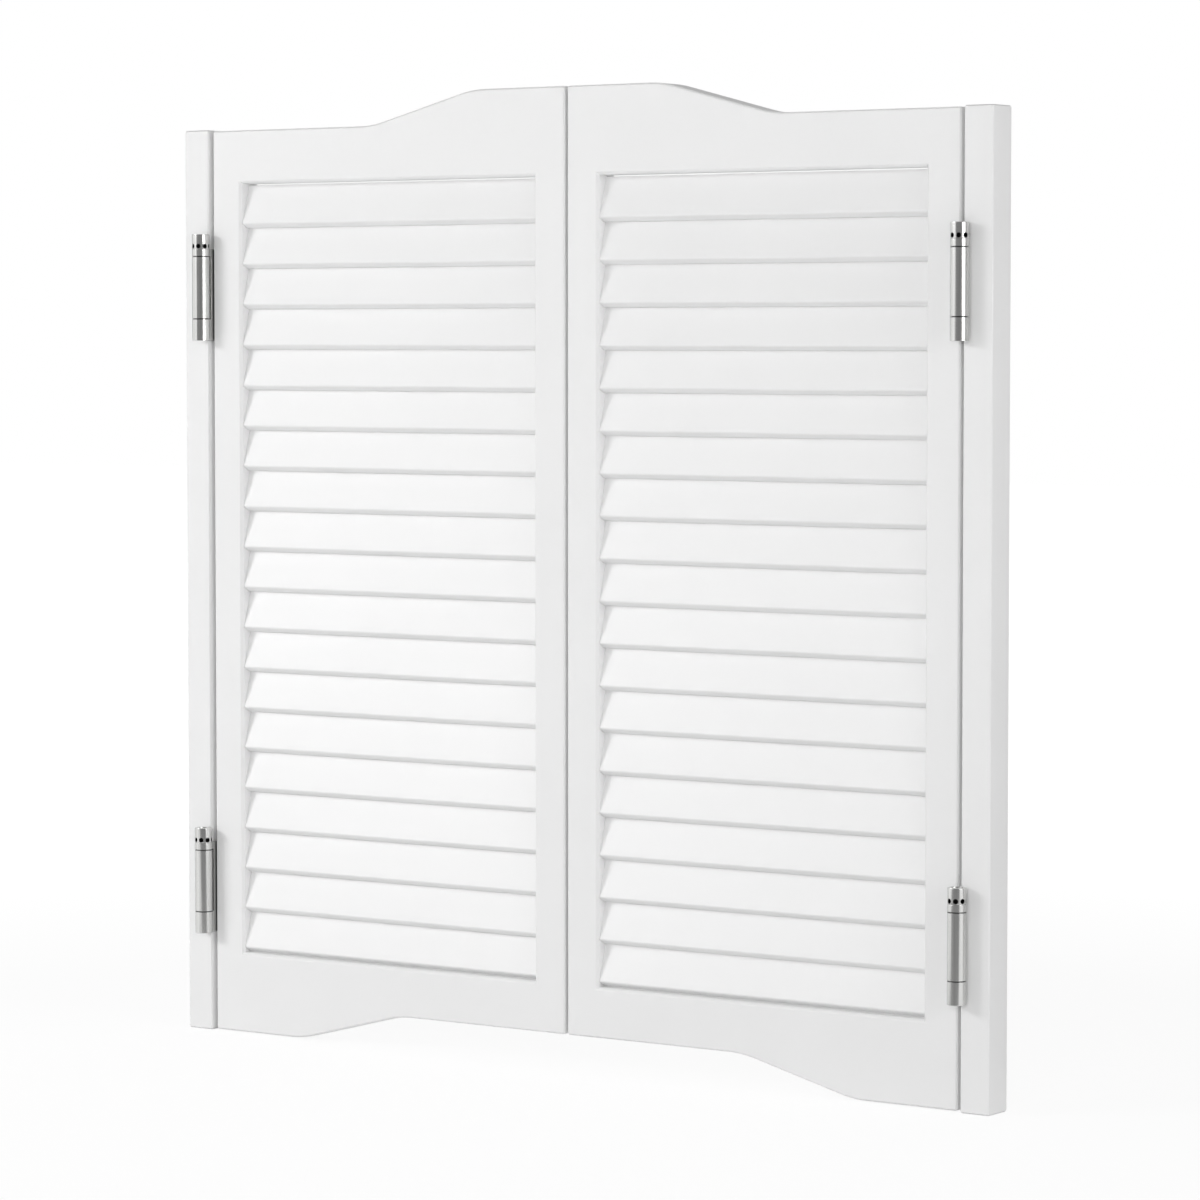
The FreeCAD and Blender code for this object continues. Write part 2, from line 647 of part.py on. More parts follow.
def make_springs(side, barrel):
    """Torsion springs, upper and lower, each as the closed sleeve that its coils fill."""
    body = new_body(f"{SIDE_NAMES[side]}_{barrel}_springs")
    section = new_sketch(body, "XY_Plane", "coil_section", PLUG_TOP)
    add_regular_polygon(section, ("0", "0"), f"({BORE_RADIUS} - spring_gap)", SPRING_SIDES)
    add_regular_polygon(section, ("0", "0"), "(spindle_radius + spring_gap)", SPRING_SIDES)
    pad(body, section, f"{SPIGOT_FOOT} - {PLUG_TOP}", "coils")
    return stand_at_hinge(body, side, barrel_axis(side, barrel))


def make_tension_pins(side, barrel):
    """Tension pins, upper and lower, each in the cap's hole that faces the other barrel."""
    body = new_body(f"{SIDE_NAMES[side]}_{barrel}_tension_pins")
    place = barrel_place(side, barrel)
    outline = new_sketch(body, "XZ_Plane", "pin_section", f"{place} * cap_hole_floor")
    add_regular_polygon(outline, ("0", HOLE_LEVEL), "tension_pin_radius", HOLE_SIDES)
    length = "barrel_radius + tension_pin_proud - cap_hole_floor"
    pad(body, outline, length, "pin", reverse=place == FRONT)
    return stand_at_hinge(body, side, barrel_axis(side, barrel))


# ---- build, check and write --------------------------------------------------------------------

for side in (LEFT, RIGHT):
    make_strip(side)
    for at_hinge in (True, False):
        make_stile(side, at_hinge)
    for at_top in (True, False):
        make_rail(side, at_top)
    make_louvers(side)
    make_webs(side)
    for barrel in ("jamb", "door"):
        make_hinge_leaves(side, barrel)
        make_caps(side, barrel)
        make_spindles(side, barrel)
        make_springs(side, barrel)
        make_tension_pins(side, barrel)
doc.recompute()

for item in doc.Objects:
    if {"Invalid", "Error"} & set(item.State):
        raise RuntimeError(f"{item.Label} ({item.Name}) did not compute: {item.State}")
for feature in cuts:
    if feature.Shape.Volume > feature.BaseFeature.Shape.Volume - 0.01:
        raise RuntimeError(f"{feature.Label} in {feature.getParentGeoFeatureGroup().Label} cuts nothing")
for body in subparts:
    if body.Shape.isNull() or not body.Shape.isValid():
        raise RuntimeError(f"{body.Label} has no valid shape")

os.makedirs("parts", exist_ok=True)
for body in subparts:
    body.Shape.exportStep(f"parts/{body.Label}.step")
    print(body.Label, len(body.Shape.Solids), "solids", round(body.Shape.Volume), "mm3")
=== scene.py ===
import math

import bpy
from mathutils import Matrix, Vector


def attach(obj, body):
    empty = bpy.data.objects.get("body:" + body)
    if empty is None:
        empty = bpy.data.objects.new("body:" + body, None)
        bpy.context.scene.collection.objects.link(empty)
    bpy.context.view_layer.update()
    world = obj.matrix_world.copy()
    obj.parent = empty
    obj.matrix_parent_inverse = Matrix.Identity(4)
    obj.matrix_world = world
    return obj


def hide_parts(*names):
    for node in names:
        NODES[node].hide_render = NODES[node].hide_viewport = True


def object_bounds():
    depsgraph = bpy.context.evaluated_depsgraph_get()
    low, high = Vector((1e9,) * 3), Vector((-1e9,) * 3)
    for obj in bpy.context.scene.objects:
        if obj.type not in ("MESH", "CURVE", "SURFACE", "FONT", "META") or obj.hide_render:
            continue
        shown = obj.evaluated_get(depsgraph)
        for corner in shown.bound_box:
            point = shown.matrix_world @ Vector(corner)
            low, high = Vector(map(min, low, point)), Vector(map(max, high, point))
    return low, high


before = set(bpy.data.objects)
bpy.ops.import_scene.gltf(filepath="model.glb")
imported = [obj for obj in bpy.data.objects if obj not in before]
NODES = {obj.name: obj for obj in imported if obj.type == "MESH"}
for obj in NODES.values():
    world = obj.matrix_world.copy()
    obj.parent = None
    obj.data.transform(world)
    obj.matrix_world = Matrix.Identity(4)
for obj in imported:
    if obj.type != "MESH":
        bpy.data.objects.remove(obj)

# Cafe swinging doors: white louvered leaves on stainless double-action spring hinges.
# The front looks along -Y, and +Z is up.  Lengths are in metres, apart from the hinges' measures.

MM = 0.001
CAD_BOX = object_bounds()
SIDES = ("left", "right")
BARRELS = ("jamb", "door")
FRAME_MEMBERS = ("hinge_stile", "meeting_stile", "top_rail", "bottom_rail")
STEEL_PIECES = (
    "webs", "jamb_leaves", "jamb_spindles", "jamb_tension_pins",
    "door_leaves", "door_spindles", "door_tension_pins",
)

# How far the edges of the CAD pieces are rounded, and in how many steps.
MEMBER_EASE = 0.6 * MM
LOUVER_EASE = 0.5 * MM
WOOD_STEPS = 3
HINGE_EASE, HINGE_STEPS = 0.35 * MM, 2
SPRING_EASE, SPRING_STEPS = 0.2 * MM, 1

# ---- measures of the hinges, in millimetres ------------------------------------------------------

HINGE_FEET = (97.5, 679.0)        # the lower and the upper hinge above the floor
BARREL_SHIFT = 429.0              # from the middle of the doors sideways to the barrels' axes
BARREL_OFFSET = 25.5              # from the middle of the doors' thickness to a barrel's axis
BARREL_RADIUS = 8.5
BORE_RADIUS = 6.92

# Heights above a hinge's foot.
JOINT_HEIGHTS = (21.15, 81.85)    # between foot and leaf knuckle, and between leaf knuckle and ring
SPIGOT_FOOT = 76.7
CAP_FOOT = 89.0
BAND_TOP = 94.5
CAP_TOP = 103.5

# Tension caps: a spigot in the bore, a band with holes, and a head with a cup and a boss in it.
SPIGOT_EASE = 0.4
BAND_EASE = 0.25
HEAD_EASE, HEAD_EASE_MIDDLE = 0.7, 0.2    # at both ends of the head's rounded edge, and halfway
CUP_RADIUS = 5.6
CUP_FLOOR = CAP_TOP - 3.0
CUP_EASE = 0.3                            # at the cup's rim and floor, and round the boss
BOSS_RADIUS = 3.4                         # to the corners of its hexagon
BOSS_HEIGHT = 2.4
HOLES = 8
HOLE_RADIUS = 2.1
HOLE_EASE, HOLE_EASE_DEPTH = 0.25, 0.3
HOLE_FLOOR = 4.6                          # from the barrel's axis
HOLE_STEPS = 8                            # steps of the band above and below each hole
CAP_CORNERS = HOLES * HOLE_STEPS

# A cap's outline as radius and height, from the spigot's foot to the band, and on to the boss.
CAP_BELOW_BAND = (
    (BORE_RADIUS - SPIGOT_EASE, SPIGOT_FOOT),
    (BORE_RADIUS, SPIGOT_FOOT + SPIGOT_EASE),
    (BORE_RADIUS, CAP_FOOT),
    (BARREL_RADIUS - BAND_EASE, CAP_FOOT),
    (BARREL_RADIUS, CAP_FOOT + BAND_EASE),
)
CAP_ABOVE_BAND = (
    (BARREL_RADIUS, BAND_TOP),
    (BARREL_RADIUS, CAP_TOP - HEAD_EASE),
    (BARREL_RADIUS - HEAD_EASE_MIDDLE, CAP_TOP - HEAD_EASE_MIDDLE),
    (BARREL_RADIUS - HEAD_EASE, CAP_TOP),
    (CUP_RADIUS + CUP_EASE, CAP_TOP),
    (CUP_RADIUS, CAP_TOP - CUP_EASE),
    (CUP_RADIUS, CUP_FLOOR + CUP_EASE),
    (CUP_RADIUS - CUP_EASE, CUP_FLOOR),
    (BOSS_RADIUS, CUP_FLOOR),
)

# Leaf plates, whose faces look into the gap between strip and door, and their screws.
JAMB_PLATE, DOOR_PLATE = 427.0, 423.0     # from the middle of the doors sideways to the faces
PLATE_MIDDLE = 1.5                        # towards the plate's own barrel
SCREW_HEIGHTS = (10.0, 44.5, 79.0)        # above the hinge's foot
SCREW_STAGGER = 4.0                       # to either side of the plate's middle, in turn
SCREW_RADIUS = 3.2
SCREW_EASE = 0.15
SCREW_FOOT, SCREW_EDGE, SCREW_TOP = -0.5, 0.02, 0.09    # out from the plate's face
SCREW_CORNERS = 48
CROSS_REACH, CROSS_HALF = 1.7, 0.35       # half the length and half the width of the recess's arms
CROSS_FLOOR, CROSS_TAPER = -1.2, 0.6      # the recess's floor, and its size against the top
TINY = 1e-6

# ---- node graphs ---------------------------------------------------------------------------------


class Graph:
    """The shader nodes of a material or world, with short ways to add the usual ones."""

    def __init__(self, owner):
        owner.use_nodes = True
        self.nodes = owner.node_tree.nodes
        self.link = owner.node_tree.links.new

    def add(self, kind, **settings):
        """A new node with its settings."""
        node = self.nodes.new(f"ShaderNode{kind}")
        for name, value in settings.items():
            setattr(node, name, value)
        return node

    def feed(self, value, socket):
        """Links an output to a socket, or sets the socket to a plain number or colour."""
        if isinstance(value, bpy.types.NodeSocket):
            self.link(value, socket)
        else:
            socket.default_value = value

    def place(self, kind="Object"):
        """Where a point lies; in a world, Generated gives the direction looked in."""
        return self.add("TexCoord").outputs[kind]

    def parts(self, vector):
        """A vector's parts, under X, Y and Z."""
        node = self.add("SeparateXYZ")
        self.link(vector, node.inputs["Vector"])
        return node.outputs

    def stretch(self, vector, scale):
        """A vector scaled along each axis."""
        node = self.add("Mapping")
        node.inputs["Scale"].default_value = scale
        self.link(vector, node.inputs["Vector"])
        return node.outputs["Vector"]

    def noise(self, vector, scale, detail, roughness=0.5):
        """Noise from 0 to 1 at a place, scale times as fine as a metre."""
        node = self.add("TexNoise")
        node.inputs["Scale"].default_value = scale
        node.inputs["Detail"].default_value = detail
        node.inputs["Roughness"].default_value = roughness
        self.link(vector, node.inputs["Vector"])
        return node.outputs["Fac"]

    def calc(self, operation, *values):
        """A Math node's result on sockets or numbers."""
        node = self.add("Math", operation=operation)
        for value, socket in zip(values, node.inputs):
            self.feed(value, socket)
        return node.outputs["Value"]

    def remap(self, value, low=0.0, high=1.0, start=0.0, end=1.0):
        """A value from start..end turned into low..high, and kept within them."""
        node = self.add("MapRange")
        self.feed(value, node.inputs["Value"])
        self.feed(start, node.inputs["From Min"])
        self.feed(end, node.inputs["From Max"])
        self.feed(low, node.inputs["To Min"])
        self.feed(high, node.inputs["To Max"])
        return node.outputs["Result"]

    def ramp(self, factor, levels, interpolation="LINEAR"):
        """A ramp through grey levels, given as place and level."""
        node = self.add("ValToRGB")
        node.color_ramp.interpolation = interpolation
        stops = node.color_ramp.elements
        while len(stops) < len(levels):
            stops.new(0.5)
        for stop, (place, level) in zip(stops, levels):
            stop.position = place
            stop.color = (level, level, level, 1)
        self.link(factor, node.inputs["Fac"])
        return node.outputs["Color"]

    def mix(self, factor, first, second):
        """A colour between two colours."""
        node = self.add("Mix", data_type="RGBA")
        self.feed(first, node.inputs["A"])
        self.feed(second, node.inputs["B"])
        self.link(factor, node.inputs["Factor"])
        return node.outputs["Result"]

    def bump(self, height, strength, distance, below=None):
        """A normal bumped by a height, on top of another normal."""
        node = self.add("Bump")
        node.inputs["Strength"].default_value = strength
        node.inputs["Distance"].default_value = distance
        self.link(height, node.inputs["Height"])
        if below:
            self.link(below, node.inputs["Normal"])
        return node.outputs["Normal"]


# ---- materials -----------------------------------------------------------------------------------

PAINT_COLOUR = (0.86, 0.86, 0.86)
PAINT_TONES = (0.975, 1.025)      # the darkest and the lightest clouds, against the colour
GRAIN_STRETCH = 0.03              # how much less the grain changes along the wood than across it
STEEL_COLOUR = (0.70, 0.70, 0.69)
STEEL_TONES = (0.72, 1.22)        # the darkest and the lightest streaks, against the colour
BRUSH_STRETCH = 0.012
# Shade painted near-black beside the barrels' joints, where the gaps between knuckles fall in
# shade.
JOINT_SHADE_COLOUR = (0.05, 0.05, 0.05)
JOINT_SHADE_REACH, JOINT_SHADE_CORE = 0.7, 0.35   # millimetres from a joint to where the painted shade ends, and where it starts to fade


def new_material(name):
    """A material, its graph and its Principled shader."""
    material = bpy.data.materials.new(name)
    graph = Graph(material)
    return material, graph, graph.nodes["Principled BSDF"]


def toned(colour, tone):
    """A colour made darker or lighter, with full alpha."""
    return (*(tone * part for part in colour), 1)


def painted_wood(name, along):
    """Satin white paint over wood whose grain runs along one axis."""
    material, graph, shader = new_material(name)
    place = graph.place()
    along_grain = graph.stretch(place, [GRAIN_STRETCH if axis == along else 1.0 for axis in "XYZ"])
    grain = graph.noise(along_grain, scale=420, detail=4, roughness=0.6)
    peel = graph.noise(place, scale=900, detail=2)
    clouds = graph.noise(place, scale=6, detail=3)
    dark, light = (toned(PAINT_COLOUR, tone) for tone in PAINT_TONES)
    graph.link(graph.mix(clouds, dark, light), shader.inputs["Base Color"])
    graph.link(graph.remap(grain, low=0.36, high=0.46), shader.inputs["Roughness"])
    normal = graph.bump(grain, strength=0.10, distance=0.10 * MM)
    normal = graph.bump(peel, strength=0.06, distance=0.05 * MM, below=normal)
    graph.link(normal, shader.inputs["Normal"])
    shader.inputs["Specular IOR Level"].default_value = 0.45
    return material


def painted_joint_shade(graph, place):
    """How much shade is painted on the steel: 1 beside the barrels' joints, where the gaps between
    knuckles fall in shade, and 0 elsewhere.
    """
    lower, upper = (foot * MM for foot in HINGE_FEET)
    parts = graph.parts(place)
    height = graph.calc("WRAP", parts["Z"], upper, lower)    # both hinges seen as the lower one
    share = graph.remap(height, start=lower, end=(HINGE_FEET[0] + CAP_TOP) * MM)
    levels = [(0.0, 0.0)]
    for joint in JOINT_HEIGHTS:
        levels += [
            ((joint - JOINT_SHADE_REACH) / CAP_TOP, 0.0), ((joint - JOINT_SHADE_CORE) / CAP_TOP, 1.0),
            ((joint + JOINT_SHADE_CORE) / CAP_TOP, 1.0), ((joint + JOINT_SHADE_REACH) / CAP_TOP, 0.0),
        ]
    gap_shade = graph.ramp(share, levels)
    depth = graph.calc("ABSOLUTE", parts["Y"])
    on_barrel = graph.calc("GREATER_THAN", depth, (BARREL_OFFSET - BARREL_RADIUS) * MM)
    return graph.calc("MULTIPLY", gap_shade, on_barrel)


def brushed_steel(name):
    """Stainless steel, brushed along the barrels, with shade painted dark beside their joints."""
    material, graph, shader = new_material(name)
    place = graph.place()
    along_brush = graph.stretch(place, (1.0, 1.0, BRUSH_STRETCH))
    brush = graph.noise(along_brush, scale=3000, detail=3, roughness=0.6)
    streaks = graph.noise(along_brush, scale=750, detail=2, roughness=0.6)
    smudge = graph.noise(place, scale=60, detail=3)
    dark, light = (toned(STEEL_COLOUR, tone) for tone in STEEL_TONES)
    steel = graph.mix(streaks, dark, light)
    # Paints the gaps' shade beside the joints.
    with_gap_shade = graph.mix(painted_joint_shade(graph, place), steel, (*JOINT_SHADE_COLOUR, 1))
    graph.link(with_gap_shade, shader.inputs["Base Color"])
    shader.inputs["Metallic"].default_value = 1.0
    brushed = graph.remap(brush, low=0.12, high=0.24)
    smudged = graph.remap(smudge, low=0.0, high=0.08)
    graph.link(graph.calc("ADD", brushed, smudged), shader.inputs["Roughness"])
    graph.link(graph.bump(brush, strength=0.15, distance=0.02 * MM), shader.inputs["Normal"])
    return material


def dark_steel(name, colour, smooth, rough):
    """Oiled spring steel, or near-black painted shade for holes and recesses, from smooth to rough
    in patches.
    """
    material, graph, shader = new_material(name)
    patches = graph.noise(graph.place(), scale=200, detail=3)
    shader.inputs["Metallic"].default_value = 1.0
    shader.inputs["Base Color"].default_value = (*colour, 1)
    graph.link(graph.remap(patches, low=smooth, high=rough), shader.inputs["Roughness"])
    return material


PAINT = {axis: painted_wood(f"painted_wood_{axis.lower()}", axis) for axis in "XZ"}
STEEL = brushed_steel("stainless_steel")
SPRING = dark_steel("spring_steel", colour=(0.16, 0.16, 0.17), smooth=0.25, rough=0.45)
# Painted shade: near-black for the walls and floors of the tension holes and screw recesses.
HOLLOW_SHADE = dark_steel("painted_hollow_shade", colour=(0.03, 0.03, 0.03), smooth=0.45, rough=0.65)


def dress(obj, material):
    """Makes a material the object's only one."""
    obj.data.materials.clear()
    obj.data.materials.append(material)


# ---- edges ---------------------------------------------------------------------------------------

# Angles between the two faces at an edge, in degrees.
FLAT_ANGLE = 0.5                  # up to this, faces are one
CHAMFER_ANGLES = (12, 62)         # where a chamfer meets the faces beside it
BEVEL_ANGLE = 25                  # from this, an edge is rounded
HARD_ANGLE = 50                   # from this, an edge stays sharp in the shading
WELD_DISTANCE = 0.002 * MM


def edge_group(name, kind, **settings):
    """A geometry node group around one node that works on edges, and that node."""
    group = bpy.data.node_groups.new(name, "GeometryNodeTree")
    for direction in ("INPUT", "OUTPUT"):
        group.interface.new_socket("Geometry", in_out=direction, socket_type="NodeSocketGeometry")
    node = group.nodes.new(kind)
    node.domain = "EDGE"
    for setting, value in settings.items():
        setattr(node, setting, value)
    link = group.links.new
    link(group.nodes.new("NodeGroupInput").outputs["Geometry"], node.inputs["Geometry"])
    link(node.outputs["Geometry"], group.nodes.new("NodeGroupOutput").inputs["Geometry"])
    return group, node


def angle_test(group, operation, limit):
    """Whether the angle at an edge is above or below a limit in degrees."""
    angle = group.nodes.new("GeometryNodeInputMeshEdgeAngle").outputs["Unsigned Angle"]
    test = group.nodes.new("FunctionNodeCompare")
    test.operation = operation
    test.inputs["B"].default_value = math.radians(limit)
    group.links.new(angle, test.inputs["A"])
    return test.outputs["Result"]


def chamfer_picker():
    """A node group that marks the edges beside chamfers for the bevel that follows it."""
    kind = "GeometryNodeStoreNamedAttribute"
    group, store = edge_group("pick_eased_edges", kind, data_type="FLOAT")
    store.inputs["Name"].default_value = "bevel_weight_edge"
    both = group.nodes.new("FunctionNodeBooleanMath")
    operations = ("GREATER_THAN", "LESS_THAN")
    for operation, limit, socket in zip(operations, CHAMFER_ANGLES, both.inputs):
        group.links.new(angle_test(group, operation, limit), socket)
    group.links.new(both.outputs["Boolean"], store.inputs["Value"])
    return group


def edge_creaser():
    """A node group that keeps hard edges sharp in the shading."""
    group, shade = edge_group("keep_hard_edges", "GeometryNodeSetShadeSmooth")
    shade.inputs["Shade Smooth"].default_value = False
    group.links.new(angle_test(group, "GREATER_THAN", HARD_ANGLE), shade.inputs["Selection"])
    return group


CHAMFER_PICKER = chamfer_picker()
EDGE_CREASER = edge_creaser()


def weld(obj):
    """Joins points that lie in one place."""
    obj.modifiers.new("weld", "WELD").merge_threshold = WELD_DISTANCE


def crease(obj):
    """Keeps hard edges sharp."""
    obj.modifiers.new("crease", "NODES").node_group = EDGE_CREASER


def even_shading(obj):
    """Keeps large faces flat in the shading beside their rounded edges."""
    obj.modifiers.new("normals", "WEIGHTED_NORMAL").keep_sharp = True


def ease(obj, width=0.0, segments=WOOD_STEPS, only_chamfers=False):
    """Finishes a CAD mesh: rounds its sharp edges, or only those of chamfers, and shades them.

    Without a width nothing is rounded.
    """
    weld(obj)
    flatten = obj.modifiers.new("flatten", "DECIMATE")
    flatten.decimate_type = "DISSOLVE"
    flatten.angle_limit = math.radians(FLAT_ANGLE)
    if only_chamfers:
        obj.modifiers.new("pick", "NODES").node_group = CHAMFER_PICKER
    if width:
        bevel = obj.modifiers.new("bevel", "BEVEL")
        bevel.width = width
        bevel.segments = segments
        bevel.limit_method = "WEIGHT" if only_chamfers else "ANGLE"
        bevel.angle_limit = math.radians(BEVEL_ANGLE)
        bevel.use_clamp_overlap = True
    crease(obj)
    even_shading(obj)
    for polygon in obj.data.polygons:
        polygon.use_smooth = True


# ---- wood ----------------------------------------------------------------------------------------

for side in SIDES:
    strip = NODES[f"{side}_jamb_strip"]
    dress(strip, PAINT["Z"])
    ease(strip)    # the plate recesses end too near the chamfers' edges for a bevel
    for member in FRAME_MEMBERS:
        piece = NODES[f"{side}_{member}"]
        dress(piece, PAINT["Z" if "stile" in member else "X"])
        ease(piece, MEMBER_EASE, only_chamfers=True)
    louvers = NODES[f"{side}_louvers"]
    dress(louvers, PAINT["X"])
    ease(louvers, LOUVER_EASE)

# ---- hinges --------------------------------------------------------------------------------------

BRIGHT, PAINTED_SHADE = 0, 1               # which of a new piece's two materials a face has: steel, or near-black painted shade


def side_sign(side):
    """-1 for the left side and 1 for the right one."""
    return -1 if side == "left" else 1


def barrel_place(side, barrel):
    """-1 for a barrel in front of the doors and 1 for one behind them."""
    return -1 if (side == "left") == (barrel == "jamb") else 1


def add_object(name, data):
    """A new object in the scene."""
    obj = bpy.data.objects.new(name, data)
    bpy.context.scene.collection.objects.link(obj)
    return obj


class Shell:
    """Points and faces of one mesh, in millimetres, and whether each face is plain steel or painted
    shade.
    """

    def __init__(self):
        self.points, self.faces, self.kinds = [], [], []

    def ring(self, points):
        """Adds points, and returns their numbers."""
        start = len(self.points)
        self.points.extend(points)
        return list(range(start, len(self.points)))

    def face(self, corners, kind=BRIGHT):
        """Adds a face on points given by their numbers."""
        self.faces.append(tuple(corners))
        self.kinds.append(kind)

    def skin(self, rings, kind=BRIGHT):
        """Adds faces between closed rings of equal length, each above or inside the last."""
        for low, high in zip(rings, rings[1:]):
            for index in range(len(low)):
                after = (index + 1) % len(low)
                self.face((low[index], low[after], high[after], high[index]), kind)

    def shift(self, first, across, depth):
        """Moves the points from a number on."""
        for index in range(first, len(self.points)):
            x, y, z = self.points[index]
            self.points[index] = (x + across, y + depth, z)

    def build(self, name, materials):
        """An object of this mesh, with its steel and its painted-shade material."""
        mesh = bpy.data.meshes.new(name)
        mesh.from_pydata([Vector(point) * MM for point in self.points], [], self.faces)
        for polygon, kind in zip(mesh.polygons, self.kinds):
            polygon.material_index = kind
            polygon.use_smooth = True
        for material in materials:
            mesh.materials.append(material)
        return add_object(name, mesh)


def circle(radius, height, corners):
    """A level ring of points round the Z axis."""
    turns = [math.tau * k / corners for k in range(corners)]
    return [(radius * math.cos(turn), radius * math.sin(turn), height) for turn in turns]


def hexagon(radius, height, corners):
    """A level ring of points on a hexagon round the Z axis."""
    points = []
    for k in range(corners):
        turn = math.tau * k / corners
        from_middle = turn % (math.pi / 3) - math.pi / 6
        reach = radius * math.cos(math.pi / 6) / math.cos(from_middle)
        points.append((reach * math.cos(turn), reach * math.sin(turn), height))
    return points


def cross(scale, height, corners):
    """A level ring of points on the outline of a screw's cross recess."""

    def arm(along, aside):
        return min(CROSS_REACH / max(abs(along), TINY), CROSS_HALF / max(abs(aside), TINY))

    points = []
    for u, v, level in circle(1.0, height, corners):
        reach = scale * max(arm(u, v), arm(v, u))
        points.append((reach * u, reach * v, level))
    return points


def hole_patch(shell, angle, low, high, level):
    """The band round one tension hole: a round chamfered hole whose wall and floor are painted
    near-black as shade.

    It reaches from the low to the high stretch of the band's rings, which are point numbers.
    """
    half = math.pi / HOLES * BARREL_RADIUS
    quarter = (BAND_TOP - CAP_FOOT) / 4
    outward = Vector((math.cos(angle), math.sin(angle)))
    sideways = Vector((-outward.y, outward.x))

    def on_band(across, up):
        turn = angle + across / BARREL_RADIUS
        return BARREL_RADIUS * math.cos(turn), BARREL_RADIUS * math.sin(turn), level + up

    def in_hole(across, up, reach):
        place = reach * outward + across * sideways
        return place.x, place.y, level + up

    right = shell.ring([on_band(half, up) for up in (-quarter, 0.0, quarter)])
    left = shell.ring([on_band(-half, up) for up in (quarter, 0.0, -quarter)])
    border = [*low, *right, *reversed(high), *left]
    rim, throat, floor = [], [], []
    for number in border:
        x, y, z = shell.points[number]
        across = (math.atan2(y, x) - angle + math.pi) % math.tau - math.pi
        turn = math.atan2(z - level, across * BARREL_RADIUS)
        u, v = HOLE_RADIUS * math.cos(turn), HOLE_RADIUS * math.sin(turn)
        wider = (HOLE_RADIUS + HOLE_EASE) / HOLE_RADIUS
        rim.append(on_band(wider * u, wider * v))
        throat.append(in_hole(u, v, math.sqrt(BARREL_RADIUS ** 2 - u ** 2) - HOLE_EASE_DEPTH))
        floor.append(in_hole(u, v, HOLE_FLOOR))
    rim, throat, floor = shell.ring(rim), shell.ring(throat), shell.ring(floor)
    shell.skin((border, rim, throat))
    # The hole's wall and floor are painted near-black as shade.
    shell.skin((throat, floor), PAINTED_SHADE)
    shell.face(floor, PAINTED_SHADE)


def add_cap(shell, foot, across, depth):
    """One tension cap: spigot, band with round holes, eased head, cup and hexagonal boss."""
    first = len(shell.points)
    below, above = (
        [shell.ring(circle(radius, foot + height, CAP_CORNERS)) for radius, height in outline]
        for outline in (CAP_BELOW_BAND, CAP_ABOVE_BAND)
    )
    shell.face(reversed(below[0]))
    shell.skin(below)
    level = foot + (CAP_FOOT + BAND_EASE + BAND_TOP) / 2
    for hole in range(HOLES):
        span = [(hole * HOLE_STEPS + step) % CAP_CORNERS for step in range(HOLE_STEPS + 1)]
        low, high = ([ring[k] for k in span] for ring in (below[-1], above[0]))
        hole_patch(shell, math.tau * (hole + 0.5) / HOLES, low, high, level)
    boss_foot, boss_top = foot + CUP_FLOOR, foot + CUP_FLOOR + BOSS_HEIGHT
    boss = [
        shell.ring(hexagon(BOSS_RADIUS, boss_foot, CAP_CORNERS)),
        shell.ring(hexagon(BOSS_RADIUS, boss_top - CUP_EASE, CAP_CORNERS)),
        shell.ring(hexagon(BOSS_RADIUS - CUP_EASE, boss_top, CAP_CORNERS)),
    ]
    shell.skin([*above, *boss])
    shell.face(boss[-1])
    shell.shift(first, across, depth)


def make_caps(side, barrel):
    """Finer tension caps for one barrel of both hinges of a leaf."""
    shell = Shell()
    across = side_sign(side) * BARREL_SHIFT
    depth = barrel_place(side, barrel) * BARREL_OFFSET
    for foot in HINGE_FEET:
        add_cap(shell, foot, across, depth)
    # The second material is near-black painted shade for the holes' walls and floors.
    caps = shell.build(f"{side}_{barrel}_caps", (STEEL, HOLLOW_SHADE))
    weld(caps)
    crease(caps)
    even_shading(caps)
    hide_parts(f"{side}_{barrel}_tension_caps")
    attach(caps, f"{side}_web")


def add_screw(shell, x, y, z, facing):
    """A countersunk screw head with a cross recess, sunk in a face that looks along X."""

    def placed(points):
        return shell.ring([
            (x + facing * out, y + facing * across, z + up) for across, up, out in points
        ])

    head = [
        placed(circle(SCREW_RADIUS, SCREW_FOOT, SCREW_CORNERS)),
        placed(circle(SCREW_RADIUS, SCREW_EDGE, SCREW_CORNERS)),
        placed(circle(SCREW_RADIUS - SCREW_EASE, SCREW_TOP, SCREW_CORNERS)),
        placed(cross(1.0, SCREW_TOP, SCREW_CORNERS)),
    ]
    recess = placed(cross(CROSS_TAPER, CROSS_FLOOR, SCREW_CORNERS))
    shell.skin(head)
    # The recess's wall and floor are painted near-black as shade.
    shell.skin((head[-1], recess), PAINTED_SHADE)
    shell.face(recess, PAINTED_SHADE)
    shell.face(reversed(head[0]))


def make_screws(side, barrel):
    """The screws of one leaf plate on both hinges of a leaf, which hold to strip or door."""
    shell = Shell()
    sign, place = side_sign(side), barrel_place(side, barrel)
    face, facing = (JAMB_PLATE, -sign) if barrel == "jamb" else (DOOR_PLATE, sign)
    for foot in HINGE_FEET:
        for count, height in enumerate(SCREW_HEIGHTS):
            stagger = SCREW_STAGGER if count % 2 else -SCREW_STAGGER
            depth = place * (PLATE_MIDDLE + stagger)
            add_screw(shell, sign * face, depth, foot + height, facing)
    # The second material is near-black painted shade for the recesses.
    screws = shell.build(f"{side}_{barrel}_screws", (STEEL, HOLLOW_SHADE))
    crease(screws)
    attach(screws, "jamb_strips" if barrel == "jamb" else f"{side}_door")


for side in SIDES:
    for kind in STEEL_PIECES:
        piece = NODES[f"{side}_{kind}"]
        dress(piece, STEEL)
        ease(piece, HINGE_EASE, HINGE_STEPS)
    for barrel in BARRELS:
        springs = NODES[f"{side}_{barrel}_springs"]
        dress(springs, SPRING)
        ease(springs, SPRING_EASE, SPRING_STEPS)
        make_caps(side, barrel)
        make_screws(side, barrel)

